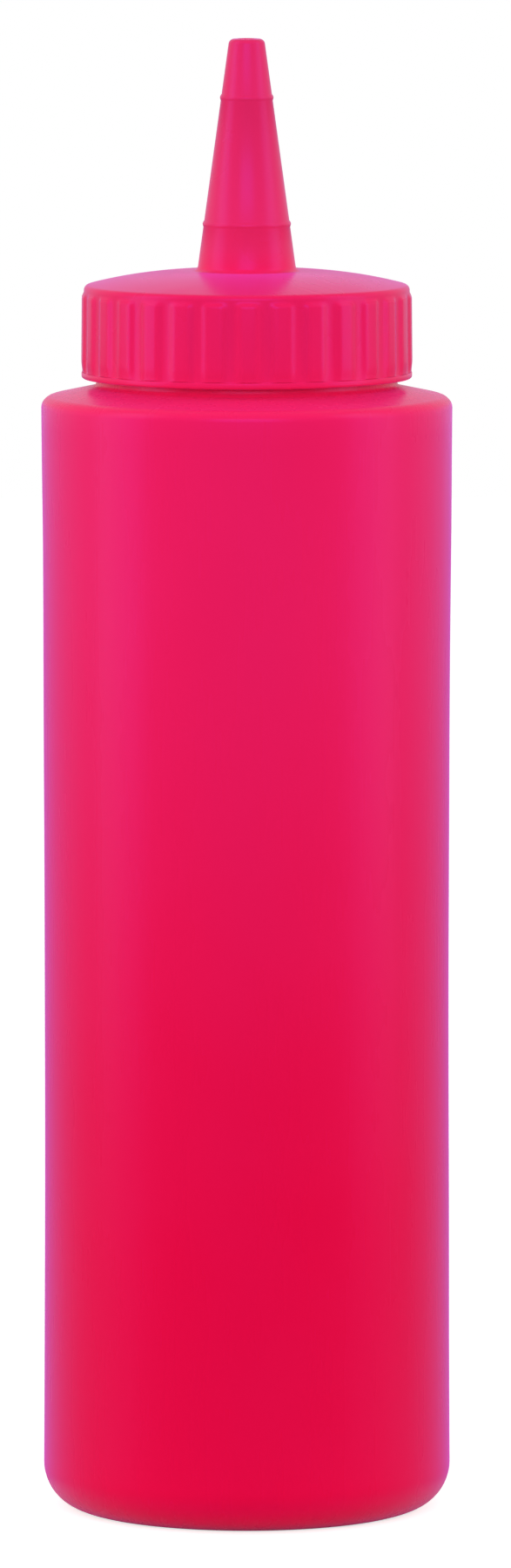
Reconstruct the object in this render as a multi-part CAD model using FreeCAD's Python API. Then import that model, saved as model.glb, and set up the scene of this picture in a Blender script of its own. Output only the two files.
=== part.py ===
import FreeCAD, Part
import math
import os

# Squeeze bottle for sauce: a blow-moulded bottle and the nozzle cap screwed onto it.
# Millimetres, +Z up, origin at the middle of the flat ring that the bottle stands on.
# The bottle is shut and stands as one filled solid, with a plain neck under the cap.

# Bottle wall and foot
body_radius = 25.42          # wall where it meets the shoulder, the widest place
waist_inset = 0.33           # how far the wall draws in at its waist
waist_height = 62.0
foot_inset = 0.1             # how far the foot stands inside the widest place
foot_rounding = 5.5
standing_width = 2.6         # flat ring between the foot's rounding and the push-up
push_up_bevel = 1.5          # slanted wall of the push-up, as high as it is wide
push_up_crown = 0.9          # rise from the top of that wall to the middle

# Bottle shoulder and neck
shoulder_height = 138.55     # where wall and shoulder would meet if the edge were sharp
shoulder_slope = 12.0        # degrees above level
shoulder_rounding = 1.1
neck_radius = 18.6
neck_root_bevel = 0.6
neck_lip_bevel = 0.5

# Cap skirt
neck_clearance = 0.2         # all round, between neck and skirt
skirt_gap = 1.4              # height of the skirt's foot above the shoulder under it
skirt_wall = 1.45            # between the ribs, at the skirt's foot
skirt_height = 11.4          # foot to the rim, where skirt and dome would meet if sharp
skirt_draft = 0.5            # degrees, narrower towards the rim
skirt_foot_bevel = 0.3
plate_thickness = 1.5        # top plate at the rim
rim_rounding = 0.75
band_height = 0.8            # smooth band round the skirt's foot
band_stand = 0.21            # how far the band stands out from the skirt

# Ribs on the skirt
rib_count = 30
rib_width = 2.6
rib_stand = 0.39             # how far a rib stands out from the skirt at its foot
rib_draft = 1.7              # degrees, leaning in towards the rim
rib_top_margin = 1.15        # plain skirt between a rib's rounded top and the rim
cap_turn = 0.6               # degrees from the front to the nearest rib

# Cap dome and nozzle
dome_rise = 1.85             # rim to the flat top that the nozzle grows from
nozzle_height = 28.65
nozzle_foot_radius = 6.12
nozzle_foot_rounding = 0.7
nozzle_tip_radius = 2.17
nozzle_tip_rounding = 0.65
orifice_radius = 1.0
orifice_depth = 12.0
ring_heights = (5.85, 21.45)  # two raised rings, above the nozzle's foot
ring_width = 0.7
ring_stand = 0.2

# Places that the pieces share
foot_radius = body_radius - foot_inset
push_up_radius = foot_radius - foot_rounding - standing_width
skirt_inside = neck_radius + neck_clearance
skirt_outside = skirt_inside + skirt_wall
band_radius = skirt_outside + band_stand
shoulder_rise = math.tan(math.radians(shoulder_slope))
neck_root = shoulder_height + (body_radius - neck_radius) * shoulder_rise
cap_foot = shoulder_height + (body_radius - band_radius) * shoulder_rise + skirt_gap
seat = cap_foot + skirt_height - plate_thickness
rim = cap_foot + skirt_height
rim_radius = skirt_outside - skirt_height * math.tan(math.radians(skirt_draft))
dome_top = rim + dome_rise
axis = FreeCAD.Vector(0, 0, 1)
origin = FreeCAD.Vector(0, 0, 0)
full_turn = 360.0
match = 0.01                 # how near an edge lies to the place it is looked for


def at(radius, height):
    return FreeCAD.Vector(radius, 0, height)


def line(start, end):
    return Part.makeLine(at(*start), at(*end))


def arc(start, middle, end):
    return Part.Arc(at(*start), at(*middle), at(*end)).toShape()


def bowed(start, middle, end):
    """A very slight arc, as a spline because its circle's centre lies far away."""
    return Part.Arc(at(*start), at(*middle), at(*end)).toBSpline().toShape()


def crown(inner, outer):
    """Arc that is level at its inner end and falls away to its outer end."""
    span = outer[0] - inner[0]
    drop = inner[1] - outer[1]
    bend = (span ** 2 + drop ** 2) / (2 * drop)
    middle_drop = bend - math.sqrt(bend ** 2 - (span / 2) ** 2)
    return arc(inner, (inner[0] + span / 2, inner[1] - middle_drop), outer)


def turned(edges):
    """Solid made by turning a closed half outline round the axis."""
    return Part.Face(Part.Wire(edges)).revolve(origin, axis, full_turn)


def edges_at(solid, radius, height):
    """The circles round the axis that lie at one radius and height."""
    found = []
    for edge in solid.Edges:
        if edge.Degenerated or not isinstance(edge.Curve, Part.Circle):
            continue
        circle = edge.Curve
        if abs(circle.Radius - radius) < match and abs(circle.Center.z - height) < match:
            found.append(edge)
    return found


def nozzle_radius(height):
    """Radius of the plain cone, at a height above the nozzle's foot."""
    taper = (nozzle_foot_radius - nozzle_tip_radius) / nozzle_height
    return nozzle_foot_radius - taper * height


def make_bottle():
    push_up_wall_top = (push_up_radius - push_up_bevel, push_up_bevel)
    push_up_middle = (0, push_up_bevel + push_up_crown)
    foot = (foot_radius, 0)
    waist = (body_radius - waist_inset, waist_height)
    shoulder = (body_radius, shoulder_height)
    outline = [
        crown(push_up_middle, push_up_wall_top),
        line(push_up_wall_top, (push_up_radius, 0)),
        line((push_up_radius, 0), foot),
        bowed(foot, waist, shoulder),
        line(shoulder, (neck_radius, neck_root)),
        line((neck_radius, neck_root), (neck_radius, seat)),
        line((neck_radius, seat), (0, seat)),
        line((0, seat), push_up_middle),
    ]
    solid = turned(outline)
    solid = solid.makeFillet(foot_rounding, edges_at(solid, *foot))
    solid = solid.makeFillet(shoulder_rounding, edges_at(solid, *shoulder))
    solid = solid.makeChamfer(neck_root_bevel, edges_at(solid, neck_radius, neck_root))
    return solid.makeChamfer(neck_lip_bevel, edges_at(solid, neck_radius, seat))


def nozzle_outline():
    """The nozzle's side from its foot to its tip, with its raised rings."""
    edges = []
    below = (nozzle_radius(0), dome_top)
    for height in ring_heights:
        ring_foot = (nozzle_radius(height - ring_width / 2), dome_top + height - ring_width / 2)
        ring_crest = (nozzle_radius(height) + ring_stand, dome_top + height)
        ring_top = (nozzle_radius(height + ring_width / 2), dome_top + height + ring_width / 2)
        edges.append(line(below, ring_foot))
        edges.append(line(ring_foot, ring_crest))
        edges.append(line(ring_crest, ring_top))
        below = ring_top
    edges.append(line(below, (nozzle_tip_radius, dome_top + nozzle_height)))
    return edges


def make_rib():
    """One rib at the front: upright sides, a round top and a leaning outer face."""
    half = rib_width / 2
    ledge = cap_foot + band_height
    shoulder = rim - rib_top_margin - half
    inside = -(skirt_inside + skirt_wall / 2)
    outside = -(skirt_outside + 2 * rib_stand)

    def corner(across, height):
        return FreeCAD.Vector(across, inside, height)

    foot_left = corner(-half, cap_foot + band_height / 2)
    foot_right = corner(half, cap_foot + band_height / 2)
    left = corner(-half, shoulder)
    right = corner(half, shoulder)
    front_view = Part.Wire([
        Part.makeLine(foot_left, foot_right),
        Part.makeLine(foot_right, right),
        Part.Arc(right, corner(0, shoulder + half), left).toShape(),
        Part.makeLine(left, foot_left),
    ])
    bar = Part.Face(front_view).extrude(FreeCAD.Vector(0, outside - inside, 0))
    lean = math.tan(math.radians(rib_draft))
    reach_foot = skirt_outside + rib_stand
    reach_top = reach_foot - (rim - ledge) * lean
    envelope = Part.makeCone(reach_foot, reach_top, rim - ledge, at(0, ledge), axis)
    return bar.common(envelope)


def make_cap():
    ledge = cap_foot + band_height
    ledge_radius = skirt_outside - band_height * math.tan(math.radians(skirt_draft))
    tip = dome_top + nozzle_height
    orifice_end = tip - orifice_depth
    outline = [
        line((0, seat), (skirt_inside, seat)),
        line((skirt_inside, seat), (skirt_inside, cap_foot)),
        line((skirt_inside, cap_foot), (band_radius, cap_foot)),
        line((band_radius, cap_foot), (band_radius, ledge)),
        line((band_radius, ledge), (ledge_radius, ledge)),
        line((ledge_radius, ledge), (rim_radius, rim)),
        crown((nozzle_foot_radius, dome_top), (rim_radius, rim)),
        *nozzle_outline(),
        line((nozzle_tip_radius, tip), (orifice_radius, tip)),
        line((orifice_radius, tip), (orifice_radius, orifice_end)),
        line((orifice_radius, orifice_end), (0, orifice_end)),
        line((0, orifice_end), (0, seat)),
    ]
    solid = turned(outline)
    solid = solid.makeChamfer(skirt_foot_bevel, edges_at(solid, band_radius, cap_foot))
    solid = solid.makeFillet(rim_rounding, edges_at(solid, rim_radius, rim))
    solid = solid.makeFillet(nozzle_foot_rounding, edges_at(solid, nozzle_foot_radius, dome_top))
    solid = solid.makeFillet(nozzle_tip_rounding, edges_at(solid, nozzle_tip_radius, tip))
    ribs = []
    for number in range(rib_count):
        rib = make_rib()
        rib.rotate(origin, axis, cap_turn + number * full_turn / rib_count)
        ribs.append(rib)
    return solid.multiFuse(ribs).removeSplitter()


os.makedirs("parts", exist_ok=True)
for node, solid in (("bottle", make_bottle()), ("cap", make_cap())):
    solid = solid.Solids[0]
    solid.exportStep("parts/" + node + ".step")
    box = solid.optimalBoundingBox()
    print(node, "valid", solid.isValid(), "volume", round(solid.Volume, 1))
    print("    width", round(box.XLength, 2), round(box.YLength, 2), "from", round(box.ZMin, 2), "to", round(box.ZMax, 2))
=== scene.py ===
import bpy
import math
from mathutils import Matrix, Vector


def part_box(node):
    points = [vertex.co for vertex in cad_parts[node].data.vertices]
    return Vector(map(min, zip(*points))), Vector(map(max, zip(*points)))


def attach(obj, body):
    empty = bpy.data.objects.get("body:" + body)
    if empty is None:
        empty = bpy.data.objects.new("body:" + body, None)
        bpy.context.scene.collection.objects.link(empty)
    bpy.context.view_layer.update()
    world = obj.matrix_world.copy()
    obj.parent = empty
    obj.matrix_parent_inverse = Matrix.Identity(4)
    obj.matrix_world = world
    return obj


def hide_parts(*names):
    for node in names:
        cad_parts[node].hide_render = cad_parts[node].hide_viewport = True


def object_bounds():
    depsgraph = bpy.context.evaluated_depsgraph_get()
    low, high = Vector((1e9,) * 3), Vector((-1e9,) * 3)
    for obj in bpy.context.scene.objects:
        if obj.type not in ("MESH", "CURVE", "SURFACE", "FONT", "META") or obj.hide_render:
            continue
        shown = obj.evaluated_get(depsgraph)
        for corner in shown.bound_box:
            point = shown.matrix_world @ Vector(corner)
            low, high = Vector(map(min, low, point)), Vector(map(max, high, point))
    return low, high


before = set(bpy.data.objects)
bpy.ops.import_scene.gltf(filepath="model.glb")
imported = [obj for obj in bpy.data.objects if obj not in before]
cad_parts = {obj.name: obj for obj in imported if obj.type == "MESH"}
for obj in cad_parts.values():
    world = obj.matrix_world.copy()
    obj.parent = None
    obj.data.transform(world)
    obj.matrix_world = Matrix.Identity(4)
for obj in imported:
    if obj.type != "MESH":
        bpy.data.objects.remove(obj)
cadLow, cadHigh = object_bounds()
bottleLow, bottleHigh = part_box("bottle")
capLow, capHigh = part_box("cap")
mm = 0.001
samePlace = 0.005 * mm          # how near a corner of a profile is looked for
weldReach = 0.002 * mm
print("frame loaded:", sorted(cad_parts))


def deselectAll():
    bpy.ops.object.select_all(action="DESELECT")


def makeActive(piece):
    deselectAll()
    piece.select_set(True)
    bpy.context.view_layer.objects.active = piece


def selectVertices(piece, wanted):
    # leaves exactly the vertices selected whose place passes the test
    bpy.ops.mesh.select_mode(type="VERT")
    bpy.ops.mesh.select_all(action="DESELECT")
    bpy.ops.object.mode_set(mode="OBJECT")
    for vertex in piece.data.vertices:
        vertex.select = wanted(vertex.co)
    bpy.ops.object.mode_set(mode="EDIT")


def easedShare(value, start, end):
    # 0 before start, 1 after end, and a soft S between them
    share = min(max((value - start) / (end - start), 0), 1)
    return share * share * (3 - 2 * share)


def arcPoints(start, end, steps):
    # points of an arc that is level at its start and falls or rises to its end, both ends left out
    span, drop = end[0] - start[0], start[1] - end[1]
    bend = (span ** 2 + drop ** 2) / (2 * drop)
    points = []
    for step in range(1, steps):
        across = span * step / steps
        fall = abs(bend) - math.sqrt(bend ** 2 - across ** 2)
        points.append((start[0] + across, start[1] - math.copysign(fall, drop)))
    return points


def drawProfile(name, corners):
    # a plane merged to one vertex, then extruded from corner to corner in the XZ plane
    deselectAll()
    bpy.ops.mesh.primitive_plane_add(size=mm, location=(0, 0, 0))
    piece = bpy.context.object
    piece.name = name
    piece.data.name = name
    bpy.ops.object.mode_set(mode="EDIT")
    bpy.ops.mesh.select_all(action="SELECT")
    bpy.ops.mesh.merge(type="CENTER")
    bpy.ops.transform.translate(value=(corners[0][0], 0, corners[0][1]))
    for before, after in zip(corners, corners[1:]):
        step = (after[0] - before[0], 0, after[1] - before[1])
        bpy.ops.mesh.extrude_region_move(TRANSFORM_OT_translate={"value": step})
    return piece


def roundCorner(piece, corner, reach, segments):
    # bevels one corner of the profile; reach is how far from the corner the round starts
    selectVertices(piece, lambda co: abs(co.x - corner[0]) < samePlace and abs(co.z - corner[1]) < samePlace)
    bpy.ops.mesh.bevel(affect="VERTICES", offset_type="OFFSET", offset=reach, segments=segments, profile=0.5)


def spinProfile(piece, turns):
    bpy.ops.mesh.select_all(action="SELECT")
    bpy.ops.mesh.spin(steps=turns, angle=2 * math.pi, center=(0, 0, 0), axis=(0, 0, 1))
    bpy.ops.mesh.select_all(action="SELECT")
    bpy.ops.mesh.remove_doubles(threshold=weldReach)
    bpy.ops.mesh.normals_make_consistent(inside=False)
    bpy.ops.object.mode_set(mode="OBJECT")


def pushOut(piece, name, weightAt, strength, middle=0, texture=None):
    # moves the surface along its normals, by a weight that each place on it is given
    group = piece.vertex_groups.new(name=name)
    for vertex in piece.data.vertices:
        weight = weightAt(vertex.co)
        if weight > 0:
            group.add([vertex.index], weight, "REPLACE")
    push = piece.modifiers.new(name, "DISPLACE")
    push.vertex_group = name
    push.texture = texture
    push.texture_coords = "LOCAL"
    push.mid_level = middle
    push.strength = strength
    makeActive(piece)
    bpy.ops.object.modifier_apply(modifier=push.name)
    piece.vertex_groups.clear()


def finishPiece(piece, nodeName, material, creaseAngle):
    piece.data.materials.append(material)
    makeActive(piece)
    bpy.ops.object.shade_smooth_by_angle(angle=math.radians(creaseAngle))
    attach(piece, "root")
    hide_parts(nodeName)


cameraValues = {
    "lens": 296,
    "clip": (0.05, 20),
    "distance": 1.6,
    "pitch": 6.07,                  # degrees, looking down
    "aimBelowMiddle": 1.0 * mm,
    "aimRight": 1.08 * mm,
}


def makeCamera():
    pitch = math.radians(cameraValues["pitch"])
    aimHeight = (cadLow.z + cadHigh.z) / 2 - cameraValues["aimBelowMiddle"]
    back, up = cameraValues["distance"] * math.cos(pitch), cameraValues["distance"] * math.sin(pitch)
    deselectAll()
    bpy.ops.object.camera_add(location=(cameraValues["aimRight"], -back, aimHeight + up),
                              rotation=(math.pi / 2 - pitch, 0, 0))
    camera = bpy.context.object
    camera.data.lens = cameraValues["lens"]
    camera.data.clip_start, camera.data.clip_end = cameraValues["clip"]
    bpy.context.scene.camera = camera
    print("camera set")


bottleSizes = {
    "turns": 256,
    "creaseAngle": 40,              # degrees
    "waistInset": 0.33 * mm,
    "waistHeight": 62 * mm,
    "footInset": 0.1 * mm,
    "footRound": 5.5 * mm,
    "standingWidth": 2.6 * mm,
    "pushUpBevel": 1.5 * mm,
    "pushUpCrown": 0.9 * mm,
    "pushUpRound": 0.8 * mm,
    "pushUpSteps": 8,
    "shoulderSlope": 12,            # degrees
    "shoulderRound": 1.2 * mm,
    "shoulderHeight": 138.55 * mm,
    "neckRadius": 18.6 * mm,
    "neckRound": 0.5 * mm,
    "wallSteps": 40,
    "wallFrom": 1.6,                # times the foot's round
    "wallTo": 3,                    # times the shoulder's round, below the shoulder
    "segments": {"foot": 14, "shoulder": 6, "neck": 3, "pushUp": 4},
    "seamStand": 0.05 * mm,         # parting line of the mould
    "seamReach": 0.02 * mm,
    "pinchOffStand": 0.2 * mm,      # weld across the bottom
    "pinchOffReach": 12 * mm,
    "waveDepth": 0.14 * mm,         # slow unevenness of a blown wall
    "waveLength": 34 * mm,
    "waveEnds": (9 * mm, 30 * mm, 118 * mm, 134 * mm),
}


def wallRadius(height):
    # the wall draws in towards its waist and widens again towards foot and shoulder
    sizes = bottleSizes
    waist = bottleHigh.x - sizes["waistInset"]
    if height > sizes["waistHeight"]:
        share = (height - sizes["waistHeight"]) / (sizes["shoulderHeight"] - sizes["waistHeight"])
        return waist + sizes["waistInset"] * share ** 2
    share = (sizes["waistHeight"] - height) / sizes["waistHeight"]
    return waist + (sizes["waistInset"] - sizes["footInset"]) * share ** 2


def makeBottle():
    sizes = bottleSizes
    top = bottleHigh.z
    shoulder = (wallRadius(sizes["shoulderHeight"]), sizes["shoulderHeight"])
    slope = math.tan(math.radians(sizes["shoulderSlope"]))
    neckFoot = (sizes["neckRadius"], shoulder[1] + (shoulder[0] - sizes["neckRadius"]) * slope)
    foot = (wallRadius(0), bottleLow.z)
    pushUpEdge = (foot[0] - sizes["footRound"] - sizes["standingWidth"], bottleLow.z)
    pushUpTop = (pushUpEdge[0] - sizes["pushUpBevel"], bottleLow.z + sizes["pushUpBevel"])
    pushUpMiddle = (0, pushUpTop[1] + sizes["pushUpCrown"])
    corners = [pushUpMiddle, *arcPoints(pushUpMiddle, pushUpTop, sizes["pushUpSteps"]), pushUpTop, pushUpEdge, foot]
    lowest = sizes["wallFrom"] * sizes["footRound"]
    highest = shoulder[1] - sizes["wallTo"] * sizes["shoulderRound"]
    for step in range(sizes["wallSteps"] + 1):
        height = lowest + (highest - lowest) * step / sizes["wallSteps"]
        corners.append((wallRadius(height), height))
    corners += [shoulder, neckFoot, (sizes["neckRadius"], top), (0, top)]
    piece = drawProfile("bottleBody", corners)
    segments = sizes["segments"]
    roundCorner(piece, foot, sizes["footRound"], segments["foot"])
    roundCorner(piece, shoulder, sizes["shoulderRound"], segments["shoulder"])
    roundCorner(piece, neckFoot, sizes["neckRound"], segments["neck"])
    roundCorner(piece, pushUpTop, sizes["pushUpRound"], segments["pushUp"])
    roundCorner(piece, pushUpEdge, sizes["pushUpRound"], segments["pushUp"])
    spinProfile(piece, sizes["turns"])

    # a blown wall is never quite even
    clouds = bpy.data.textures.new("wallWaves", "CLOUDS")
    clouds.noise_scale = sizes["waveLength"]
    clouds.noise_depth = 0
    lowStart, lowFull, highFull, highEnd = sizes["waveEnds"]
    pushOut(piece, "wallWaves",
            lambda co: easedShare(co.z, lowStart, lowFull) * (1 - easedShare(co.z, highFull, highEnd)),
            sizes["waveDepth"], 0.5, clouds)

    # the mould's parting line up both sides, and the weld where it pinched the bottom shut
    bpy.ops.object.mode_set(mode="EDIT")
    onSeam = sizes["seamReach"]
    stand = 1 + sizes["seamStand"] / bottleHigh.x
    selectVertices(piece, lambda co: abs(co.y) < onSeam and abs(co.x) > sizes["neckRadius"])
    bpy.ops.transform.resize(value=(stand, 1, 1), center_override=(0, 0, 0))
    selectVertices(piece, lambda co: abs(co.y) < onSeam and abs(co.x) < sizes["pinchOffReach"]
                   and co.z < pushUpMiddle[1] + mm)
    bpy.ops.transform.translate(value=(0, 0, -sizes["pinchOffStand"]))
    bpy.ops.object.mode_set(mode="OBJECT")
    print("bottle:", len(piece.data.vertices), "vertices")
    return piece


capSizes = {
    "turns": 480,
    "creaseAngle": 40,              # degrees
    "skirtInside": 18.8 * mm,
    "skirtOutside": 20.25 * mm,
    "skirtHeight": 11.4 * mm,
    "skirtDraft": 0.5,              # degrees
    "plate": 1.5 * mm,
    "bandHeight": 0.8 * mm,
    "bandStand": 0.21 * mm,
    "bandFootRound": 0.3 * mm,
    "bandTopRound": 0.15 * mm,
    "ledgeRound": 0.12 * mm,
    "rimRound": 0.5 * mm,
    "domeRise": 1.85 * mm,
    "domeSteps": 18,
    "nozzleFoot": 6.12 * mm,
    "nozzleFootRound": 0.6 * mm,
    "nozzleTip": 2.17 * mm,
    "nozzleTipRound": 0.6 * mm,
    "ringHeights": (5.85 * mm, 21.45 * mm),
    "ringHalf": 0.4 * mm,
    "ringStand": 0.2 * mm,
    "ringRound": 0.2 * mm,
    "orifice": 1.0 * mm,
    "orificeRound": 0.2 * mm,
    "orificeDepth": 12 * mm,
    "segments": {"bandFoot": 4, "bandTop": 3, "ledge": 3, "rim": 7, "nozzleFoot": 6, "ring": 4, "tip": 6, "mouth": 3},
}

ribSizes = {
    "count": 30,
    "crown": 1.4 * mm,              # width of a rib's level top
    "foot": 3.7 * mm,               # and of its foot, where the flanks run out
    "stand": 0.3 * mm,
    "turn": 0.6,                    # degrees
    "footShare": 0.55,              # of its stand that a rib has where it meets the band
    "footFull": 1.6 * mm,           # above the band
    "footSteps": 5,
    "topFull": 1.5 * mm,            # below the rim; above it a rib sinks away
    "topEnd": 0.6 * mm,
    "topSteps": 8,
    "wallInside": 0.15 * mm,        # how far the skirt's wall may lie inside its widest place
    "wallOutside": 0.06 * mm,       # and outside it, which leaves out the band
    "ledgeBelow": 0.05 * mm,
}


def makeCapShell():
    sizes = capSizes
    foot, tip = capLow.z, capHigh.z
    ledge, rim = foot + sizes["bandHeight"], foot + sizes["skirtHeight"]
    seat = rim - sizes["plate"]
    domeTop = rim + sizes["domeRise"]
    draft = math.tan(math.radians(sizes["skirtDraft"]))
    bandRadius = sizes["skirtOutside"] + sizes["bandStand"]
    bandFoot, bandTop = (bandRadius, foot), (bandRadius, ledge)
    ledgeCorner = (sizes["skirtOutside"] - sizes["bandHeight"] * draft, ledge)
    rimCorner = (sizes["skirtOutside"] - sizes["skirtHeight"] * draft, rim)
    nozzleFoot = (sizes["nozzleFoot"], domeTop)
    tipCorner, mouth = (sizes["nozzleTip"], tip), (sizes["orifice"], tip)
    mouthEnd = (sizes["orifice"], tip - sizes["orificeDepth"])

    def coneRadius(height):
        share = (height - domeTop) / (tip - domeTop)
        return sizes["nozzleFoot"] + (sizes["nozzleTip"] - sizes["nozzleFoot"]) * share

    corners = [(0, seat), (sizes["skirtInside"], seat), (sizes["skirtInside"], foot), bandFoot, bandTop, ledgeCorner]
    # levels for the ribs' lower and upper ends
    for step in range(1, ribSizes["footSteps"] + 1):
        above = ribSizes["footFull"] * step / ribSizes["footSteps"]
        corners.append((ledgeCorner[0] - above * draft, ledge + above))
    for step in range(ribSizes["topSteps"] + 1):
        below = ribSizes["topFull"] + (ribSizes["topEnd"] - ribSizes["topFull"]) * step / ribSizes["topSteps"]
        corners.append((rimCorner[0] + below * draft, rim - below))
    corners.append(rimCorner)
    corners += arcPoints(nozzleFoot, rimCorner, sizes["domeSteps"])[::-1]
    corners.append(nozzleFoot)
    crests = []
    for ringHeight in sizes["ringHeights"]:
        height = domeTop + ringHeight
        below, above = height - sizes["ringHalf"], height + sizes["ringHalf"]
        crest = (coneRadius(height) + sizes["ringStand"], height)
        crests.append(crest)
        corners += [(coneRadius(below), below), crest, (coneRadius(above), above)]
    corners += [tipCorner, mouth, mouthEnd, (0, mouthEnd[1])]
    piece = drawProfile("capShell", corners)
    segments = sizes["segments"]
    roundCorner(piece, bandFoot, sizes["bandFootRound"], segments["bandFoot"])
    roundCorner(piece, bandTop, sizes["bandTopRound"], segments["bandTop"])
    roundCorner(piece, ledgeCorner, sizes["ledgeRound"], segments["ledge"])
    roundCorner(piece, rimCorner, sizes["rimRound"], segments["rim"])
    roundCorner(piece, nozzleFoot, sizes["nozzleFootRound"], segments["nozzleFoot"])
    for crest in crests:
        roundCorner(piece, crest, sizes["ringRound"], segments["ring"])
    roundCorner(piece, tipCorner, sizes["nozzleTipRound"], segments["tip"])
    roundCorner(piece, mouth, sizes["orificeRound"], segments["mouth"])
    spinProfile(piece, sizes["turns"])
    return piece


def ribWeight(place):
    # how far the skirt's wall stands out here: 1 on a rib's crown, 0 in the grooves between
    sizes = ribSizes
    ledge = capLow.z + capSizes["bandHeight"]
    rim = capLow.z + capSizes["skirtHeight"]
    radius = math.hypot(place.x, place.y)
    beyond = radius - capSizes["skirtOutside"]
    if beyond < -sizes["wallInside"] or beyond > sizes["wallOutside"] or place.z < ledge - sizes["ledgeBelow"]:
        return 0
    pitch = 2 * math.pi / sizes["count"]
    angle = math.atan2(place.y, place.x) + math.pi / 2 - math.radians(sizes["turn"])
    aside = abs((angle + pitch / 2) % pitch - pitch / 2) * radius
    across = 1 - easedShare(aside, sizes["crown"] / 2, sizes["foot"] / 2)
    upward = 1 - easedShare(place.z, rim - sizes["topFull"], rim - sizes["topEnd"])
    fromFoot = sizes["footShare"] + (1 - sizes["footShare"]) * easedShare(place.z, ledge, ledge + sizes["footFull"])
    return across * upward * fromFoot


def makeCap():
    piece = makeCapShell()
    pushOut(piece, "ribs", ribWeight, ribSizes["stand"])
    print("cap:", len(piece.data.vertices), "vertices")
    return piece


bottlePlasticValues = {
    "shadedFootColor": (0.85, 0.0024, 0.049, 1),       # painted shade: darker towards the foot, where less light falls
    "litShoulderColor": (0.86, 0.0106, 0.103, 1),
    "deepUpTo": 30 * mm,
    "paleFrom": 125 * mm,
    "cloudSize": 45,
    "cloudDetail": 3,
    "cloudShare": 0.16,
    "shoulder": (137.3 * mm, 138.5 * mm),        # from the wall to the smooth, glossier shoulder
    "footRound": (0.5 * mm, 7 * mm),             # from the smooth foot to the wall
    "roughness": (0.24, 0.31),
    "wearFrom": 0.3,                             # of the noise that varies the gloss
    "wearTo": 0.7,
    "drawLines": (420, 420, 5),
    "drawLineShare": 0.5,
    "drawLineDetail": 3,
    "peelSize": 650,
    "peelDetail": 2,
    "peelShare": 0.35,
    "reliefDepth": 0.014 * mm,
    "endRelief": 0.12,                           # share of it left on shoulder and foot
    "refraction": 1.24,
    "gloss": 0.85,
    "shoulderGloss": 1.0,
    "glossTint": (0.0, 0.04, 1.0, 1),
    "shoulderTint": (0.15, 0.3, 1.0, 1),
    "sheen": 1.0,
    "endSheen": 0.3,                             # on shoulder and foot
    "sheenRoughness": 0.38,
    "sheenTint": (0.97, 0.15, 1.0, 1),
}


def addRamp(material, source, start, end, low, high):
    # a soft ramp of a value: low before start and high after end
    nodes, links = material.node_tree.nodes, material.node_tree.links
    ramp = nodes.new("ShaderNodeMapRange")
    ramp.interpolation_type = "SMOOTHSTEP"
    ramp.inputs["From Min"].default_value = start
    ramp.inputs["From Max"].default_value = end
    ramp.inputs["To Min"].default_value = low
    ramp.inputs["To Max"].default_value = high
    links.new(source, ramp.inputs["Value"])
    return ramp.outputs["Result"]


def newPlastic(name, values):
    material = bpy.data.materials.new(name)
    material.use_nodes = True
    shader = material.node_tree.nodes["Principled BSDF"]
    shader.inputs["IOR"].default_value = values["refraction"]
    shader.inputs["Specular IOR Level"].default_value = values["gloss"]
    shader.inputs["Specular Tint"].default_value = values["glossTint"]
    shader.inputs["Sheen Weight"].default_value = values["sheen"]
    shader.inputs["Sheen Roughness"].default_value = values["sheenRoughness"]
    shader.inputs["Sheen Tint"].default_value = values["sheenTint"]
    return material, shader


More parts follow.
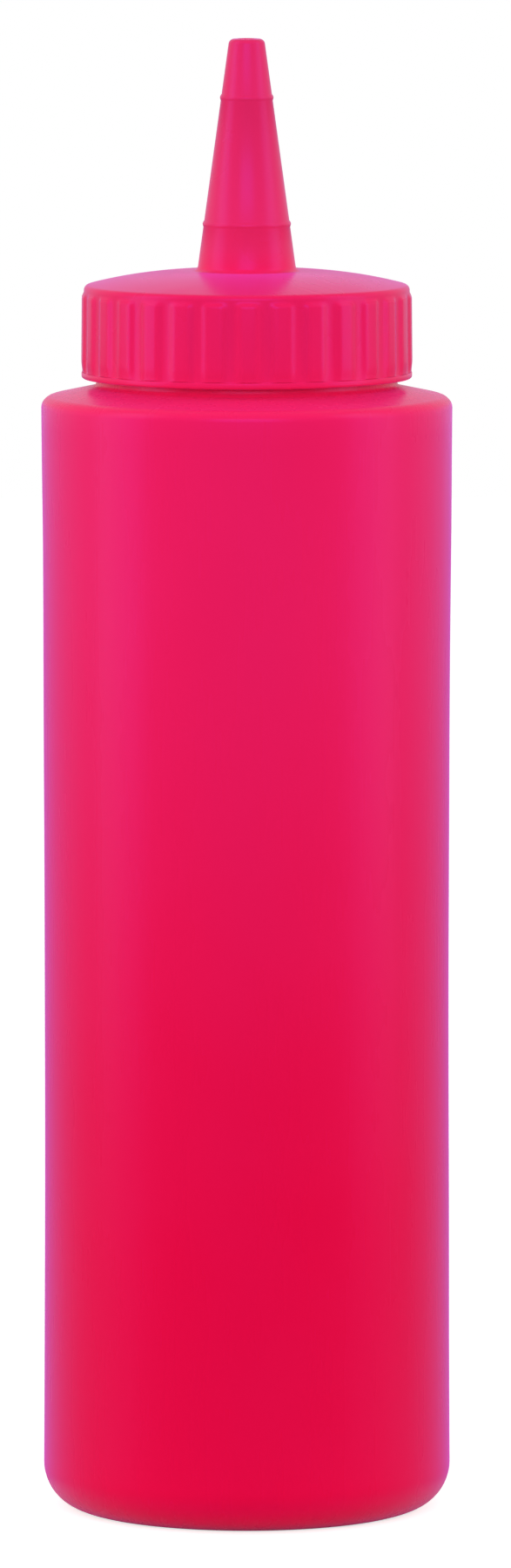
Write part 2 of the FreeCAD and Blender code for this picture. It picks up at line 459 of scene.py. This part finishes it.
def makeBottlePlastic():
    # a blown, dyed soft plastic: painted shade makes it deeper in colour towards its foot and painted light paler
    # towards its shoulder, cloudy by a shade, with the faint upright lines of its drawing and a fine orange peel
    values = bottlePlasticValues
    material, shader = newPlastic("bottlePlastic", values)
    nodes, links = material.node_tree.nodes, material.node_tree.links
    place = nodes.new("ShaderNodeTexCoord")

    split = nodes.new("ShaderNodeSeparateXYZ")
    links.new(place.outputs["Object"], split.inputs["Vector"])
    height = split.outputs["Z"]
    # painted shade and light: by height the colour darkens towards the foot and pales towards the shoulder
    rise = addRamp(material, height, values["deepUpTo"], values["paleFrom"], 0, 1)
    clouds = nodes.new("ShaderNodeTexNoise")
    clouds.inputs["Scale"].default_value = values["cloudSize"]
    clouds.inputs["Detail"].default_value = values["cloudDetail"]
    links.new(place.outputs["Object"], clouds.inputs["Vector"])
    drift = nodes.new("ShaderNodeMapRange")
    drift.inputs["To Min"].default_value = -values["cloudShare"]
    drift.inputs["To Max"].default_value = values["cloudShare"]
    links.new(clouds.outputs["Fac"], drift.inputs["Value"])
    depth = nodes.new("ShaderNodeMath")
    depth.operation = "ADD"
    links.new(rise, depth.inputs[0])
    links.new(drift.outputs["Result"], depth.inputs[1])
    shade = nodes.new("ShaderNodeMix")
    shade.data_type = "RGBA"
    shade.inputs["A"].default_value = values["shadedFootColor"]
    shade.inputs["B"].default_value = values["litShoulderColor"]
    links.new(depth.outputs["Value"], shade.inputs["Factor"])
    links.new(shade.outputs["Result"], shader.inputs["Base Color"])

    shoulder = addRamp(material, height, *values["shoulder"], 0, 1)
    tint = nodes.new("ShaderNodeMix")
    tint.data_type = "RGBA"
    tint.inputs["A"].default_value = values["glossTint"]
    tint.inputs["B"].default_value = values["shoulderTint"]
    links.new(shoulder, tint.inputs["Factor"])
    links.new(tint.outputs["Result"], shader.inputs["Specular Tint"])
    links.new(addRamp(material, height, *values["shoulder"], values["gloss"], values["shoulderGloss"]),
              shader.inputs["Specular IOR Level"])
    onWall = nodes.new("ShaderNodeMath")
    onWall.operation = "MULTIPLY"
    links.new(addRamp(material, height, *values["shoulder"], 1, 0), onWall.inputs[0])
    links.new(addRamp(material, height, *values["footRound"], 0, 1), onWall.inputs[1])
    wall = onWall.outputs["Value"]
    links.new(addRamp(material, wall, 0, 1, values["endSheen"], values["sheen"]), shader.inputs["Sheen Weight"])

    stretch = nodes.new("ShaderNodeMapping")
    stretch.inputs["Scale"].default_value = values["drawLines"]
    links.new(place.outputs["Object"], stretch.inputs["Vector"])
    drawLines = nodes.new("ShaderNodeTexNoise")
    drawLines.inputs["Scale"].default_value = 1
    drawLines.inputs["Detail"].default_value = values["drawLineDetail"]
    links.new(stretch.outputs["Vector"], drawLines.inputs["Vector"])
    wear = nodes.new("ShaderNodeMix")
    wear.inputs["Factor"].default_value = values["drawLineShare"]
    links.new(clouds.outputs["Fac"], wear.inputs["A"])
    links.new(drawLines.outputs["Fac"], wear.inputs["B"])
    gloss = nodes.new("ShaderNodeMapRange")
    gloss.inputs["From Min"].default_value = values["wearFrom"]
    gloss.inputs["From Max"].default_value = values["wearTo"]
    gloss.inputs["To Min"].default_value, gloss.inputs["To Max"].default_value = values["roughness"]
    links.new(wear.outputs["Result"], gloss.inputs["Value"])
    links.new(gloss.outputs["Result"], shader.inputs["Roughness"])

    peel = nodes.new("ShaderNodeTexNoise")
    peel.inputs["Scale"].default_value = values["peelSize"]
    peel.inputs["Detail"].default_value = values["peelDetail"]
    links.new(place.outputs["Object"], peel.inputs["Vector"])
    relief = nodes.new("ShaderNodeMix")
    links.new(addRamp(material, wall, 0, 1, 1, values["peelShare"]), relief.inputs["Factor"])
    links.new(drawLines.outputs["Fac"], relief.inputs["A"])
    links.new(peel.outputs["Fac"], relief.inputs["B"])
    bump = nodes.new("ShaderNodeBump")
    bump.inputs["Distance"].default_value = values["reliefDepth"]
    links.new(addRamp(material, wall, 0, 1, values["endRelief"], 1), bump.inputs["Strength"])
    links.new(relief.outputs["Result"], bump.inputs["Height"])
    links.new(bump.outputs["Normal"], shader.inputs["Normal"])
    return material


capPlasticValues = {
    "color": (0.81, 0.0094, 0.09, 1),
    "paleColor": (0.82, 0.0114, 0.102, 1),
    "litNozzleColor": (0.745, 0.0185, 0.114, 1),    # painted light: paler, as if lit through its thin wall
    "nozzleFrom": 153.6 * mm,
    "nozzleFull": 157.5 * mm,
    "flowSize": 70,
    "flowDetail": 4,
    "flowTwist": 0.6,
    "wearFrom": 0.3,
    "wearTo": 0.7,
    "roughness": (0.26, 0.33),
    "grip": (20.2 * mm, 20.6 * mm),          # from the grooves to the ribs' crowns
    "gripPolish": 0.8,                       # share of the roughness left where fingers turn the cap
    "peelSize": 900,
    "peelDetail": 2,
    "reliefDepth": 0.004 * mm,
    "refraction": 1.34,
    "gloss": 0.66,
    "glossTint": (0.02, 0.08, 0.85, 1),
    "sheen": 0.42,
    "sheenRoughness": 0.35,
    "sheenTint": (0.84, 0.12, 1.0, 1),
}


def makeCapPlastic():
    # an injected, harder and glossier plastic with faint flow clouds, polished where fingers turn it, and a nozzle
    # with painted light, paler as if lit through its thin wall
    values = capPlasticValues
    material, shader = newPlastic("capPlastic", values)
    nodes, links = material.node_tree.nodes, material.node_tree.links
    place = nodes.new("ShaderNodeTexCoord")

    flow = nodes.new("ShaderNodeTexNoise")
    flow.inputs["Scale"].default_value = values["flowSize"]
    flow.inputs["Detail"].default_value = values["flowDetail"]
    flow.inputs["Distortion"].default_value = values["flowTwist"]
    links.new(place.outputs["Object"], flow.inputs["Vector"])
    shade = nodes.new("ShaderNodeMix")
    shade.data_type = "RGBA"
    shade.inputs["A"].default_value = values["color"]
    shade.inputs["B"].default_value = values["paleColor"]
    links.new(flow.outputs["Fac"], shade.inputs["Factor"])
    split = nodes.new("ShaderNodeSeparateXYZ")
    links.new(place.outputs["Object"], split.inputs["Vector"])
    # painted light: the colour pales up the nozzle, as if lit through its thin wall
    nozzleLight = nodes.new("ShaderNodeMix")
    nozzleLight.data_type = "RGBA"
    nozzleLight.inputs["B"].default_value = values["litNozzleColor"]
    links.new(addRamp(material, split.outputs["Z"], values["nozzleFrom"], values["nozzleFull"], 0, 1),
              nozzleLight.inputs["Factor"])
    links.new(shade.outputs["Result"], nozzleLight.inputs["A"])
    links.new(nozzleLight.outputs["Result"], shader.inputs["Base Color"])

    flat = nodes.new("ShaderNodeVectorMath")
    flat.operation = "MULTIPLY"
    flat.inputs[1].default_value = (1, 1, 0)
    links.new(place.outputs["Object"], flat.inputs[0])
    radius = nodes.new("ShaderNodeVectorMath")
    radius.operation = "LENGTH"
    links.new(flat.outputs["Vector"], radius.inputs[0])
    grip = nodes.new("ShaderNodeMapRange")
    grip.inputs["From Min"].default_value, grip.inputs["From Max"].default_value = values["grip"]
    grip.inputs["To Min"].default_value = 1
    grip.inputs["To Max"].default_value = values["gripPolish"]
    links.new(radius.outputs["Value"], grip.inputs["Value"])
    gloss = nodes.new("ShaderNodeMapRange")
    gloss.inputs["From Min"].default_value = values["wearFrom"]
    gloss.inputs["From Max"].default_value = values["wearTo"]
    gloss.inputs["To Min"].default_value, gloss.inputs["To Max"].default_value = values["roughness"]
    links.new(flow.outputs["Fac"], gloss.inputs["Value"])
    polish = nodes.new("ShaderNodeMath")
    polish.operation = "MULTIPLY"
    links.new(gloss.outputs["Result"], polish.inputs[0])
    links.new(grip.outputs["Result"], polish.inputs[1])
    links.new(polish.outputs["Value"], shader.inputs["Roughness"])

    peel = nodes.new("ShaderNodeTexNoise")
    peel.inputs["Scale"].default_value = values["peelSize"]
    peel.inputs["Detail"].default_value = values["peelDetail"]
    links.new(place.outputs["Object"], peel.inputs["Vector"])
    bump = nodes.new("ShaderNodeBump")
    bump.inputs["Distance"].default_value = values["reliefDepth"]
    links.new(peel.outputs["Fac"], bump.inputs["Height"])
    links.new(bump.outputs["Normal"], shader.inputs["Normal"])
    return material


studioValues = {
    "roomFront": 0.58,              # brightness of the room on the camera's side
    "roomSides": 0.8,
    "roomBack": 0.65,
    "roomTop": 0.55,
    "roomStops": (0.175, 0.325, 0.675, 0.825),       # front, sides from and to, back
    "topFrom": 0.45,                # upward share of the view where the room's top begins
    "topFull": 0.75,
    "floorSize": 3,
    "floorLevel": 0.31,
    "floorRoughness": 0.9,
    "floorGloss": 0.1,
    "sheetLevel": 0.62,             # a whiter round sheet under the bottle lights its foot
    "sheetEdge": (27 * mm, 36 * mm),
    "floorGlow": 0.84,              # for the camera alone: white paper round the bottle's shadow
    "sheetGlow": 0.72,
}

lampValues = {
    "softboxLeft": {"place": (-0.57, -0.16, 0.405), "turn": (0, -90, 0), "size": (0.8, 0.33), "power": 1.95},
    "softboxRight": {"place": (0.57, -0.16, 0.405), "turn": (0, 90, 0), "size": (0.8, 0.33), "power": 1.67},
    "softboxFront": {"place": (0, -1.7, 0.8), "turn": (67.3, 0, 0), "size": (1.2, 0.8), "power": 12.2},
}


def makeFloor():
    deselectAll()
    bpy.ops.mesh.primitive_plane_add(size=studioValues["floorSize"], location=(0, 0, cadLow.z))
    floor = bpy.context.object
    floor.name = "floor"
    material = bpy.data.materials.new("floorPaper")
    material.use_nodes = True
    nodes, links = material.node_tree.nodes, material.node_tree.links
    shader = nodes["Principled BSDF"]
    place = nodes.new("ShaderNodeTexCoord")
    away = nodes.new("ShaderNodeVectorMath")
    away.operation = "LENGTH"
    links.new(place.outputs["Object"], away.inputs[0])
    distance, edge = away.outputs["Value"], studioValues["sheetEdge"]
    links.new(addRamp(material, distance, *edge, studioValues["sheetLevel"], studioValues["floorLevel"]),
              shader.inputs["Base Color"])
    shader.inputs["Roughness"].default_value = studioValues["floorRoughness"]
    shader.inputs["Specular IOR Level"].default_value = studioValues["floorGloss"]
    shader.inputs["Emission Color"].default_value = (1, 1, 1, 1)
    path = nodes.new("ShaderNodeLightPath")
    glow = nodes.new("ShaderNodeMath")
    glow.operation = "MULTIPLY"
    links.new(path.outputs["Is Camera Ray"], glow.inputs[0])
    links.new(addRamp(material, distance, *edge, studioValues["sheetGlow"], studioValues["floorGlow"]), glow.inputs[1])
    links.new(glow.outputs["Value"], shader.inputs["Emission Strength"])
    floor.data.materials.append(material)


def makeRoom():
    # a soft room whose sides are its brightest part; the camera itself sees plain white
    values = studioValues
    world = bpy.data.worlds.new("studio")
    bpy.context.scene.world = world
    world.use_nodes = True
    nodes, links = world.node_tree.nodes, world.node_tree.links
    background = nodes["Background"]
    background.inputs["Color"].default_value = (1, 1, 1, 1)
    place = nodes.new("ShaderNodeTexCoord")
    split = nodes.new("ShaderNodeSeparateXYZ")
    links.new(place.outputs["Generated"], split.inputs["Vector"])
    around = nodes.new("ShaderNodeMapRange")
    around.inputs["From Min"].default_value = -1
    links.new(split.outputs["Y"], around.inputs["Value"])
    walls = nodes.new("ShaderNodeValToRGB")
    walls.color_ramp.interpolation = "EASE"
    levels = (values["roomFront"], values["roomSides"], values["roomSides"], values["roomBack"])
    while len(walls.color_ramp.elements) < len(levels):
        walls.color_ramp.elements.new(0.5)
    for element, position, level in zip(walls.color_ramp.elements, values["roomStops"], levels):
        element.position = position
        element.color = (level, level, level, 1)
    links.new(around.outputs["Result"], walls.inputs["Fac"])
    upward = nodes.new("ShaderNodeMapRange")
    upward.interpolation_type = "SMOOTHSTEP"
    upward.inputs["From Min"].default_value = values["topFrom"]
    upward.inputs["From Max"].default_value = values["topFull"]
    links.new(split.outputs["Z"], upward.inputs["Value"])
    room = nodes.new("ShaderNodeMix")
    room.inputs["B"].default_value = values["roomTop"]
    links.new(upward.outputs["Result"], room.inputs["Factor"])
    links.new(walls.outputs["Color"], room.inputs["A"])
    path = nodes.new("ShaderNodeLightPath")
    seen = nodes.new("ShaderNodeMix")
    seen.inputs["B"].default_value = 1
    links.new(path.outputs["Is Camera Ray"], seen.inputs["Factor"])
    links.new(room.outputs["Result"], seen.inputs["A"])
    links.new(seen.outputs["Result"], background.inputs["Strength"])


def makeLamps():
    for name, values in lampValues.items():
        deselectAll()
        turn = [math.radians(angle) for angle in values["turn"]]
        bpy.ops.object.light_add(type="AREA", location=values["place"], rotation=turn)
        lamp = bpy.context.object
        lamp.name = name
        lamp.data.shape = "RECTANGLE"
        lamp.data.size, lamp.data.size_y = values["size"]
        lamp.data.energy = values["power"]
        lamp.visible_camera = False
    print("studio lit")


makeCamera()
bottle = makeBottle()
cap = makeCap()
finishPiece(bottle, "bottle", makeBottlePlastic(), bottleSizes["creaseAngle"])
finishPiece(cap, "cap", makeCapPlastic(), capSizes["creaseAngle"])
print("pieces dressed")
makeFloor()
makeRoom()
makeLamps()

bpy.context.scene.view_settings.view_transform = "Standard"
print("done")
